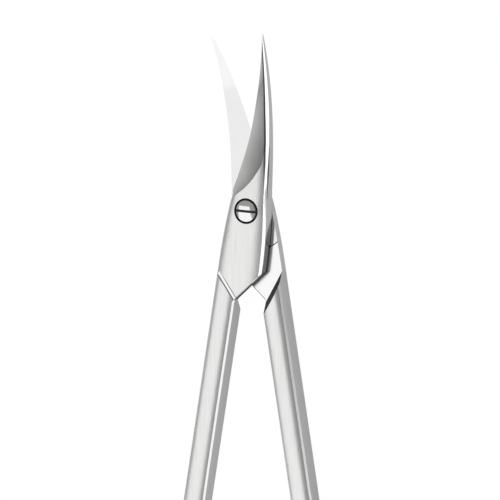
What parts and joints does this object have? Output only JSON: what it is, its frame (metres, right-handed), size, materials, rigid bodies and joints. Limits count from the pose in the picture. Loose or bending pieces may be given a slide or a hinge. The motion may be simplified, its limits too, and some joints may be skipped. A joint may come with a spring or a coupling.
{
  "type": "cuticle scissors",
  "caption": "Fine pair of steel scissors with short blades that curve to the front, crossing on a slotted pivot screw, with slim shanks and oval finger rings, for trimming cuticles.",
  "frame": {"origin": "pivot axis where it meets the flat ground on the back half's back, which lies on the table", "axes": "+Y from the pivot towards the tips along the centreline, +Z out of the front face along the pivot axis, +X to the right seen from the front"},
  "size_m": [0.0728, 0.099, 0.0076],
  "materials": {
    "satin_steel": "satin faces with polished bevels",
    "polished_steel": "polished"
  },
  "bodies": {
    "back": {"back_half": "satin_steel", "pivot_screw": "polished_steel"},
    "front": {"front_half": "satin_steel"}
  },
  "joints": [
    {"name": "pivot", "type": "hinge", "parent": "back", "child": "front", "pos_m": [0, 0, 0.0021], "axis": [0, 0, -1], "range_deg": [-18.4, 41.6]}
  ]
}
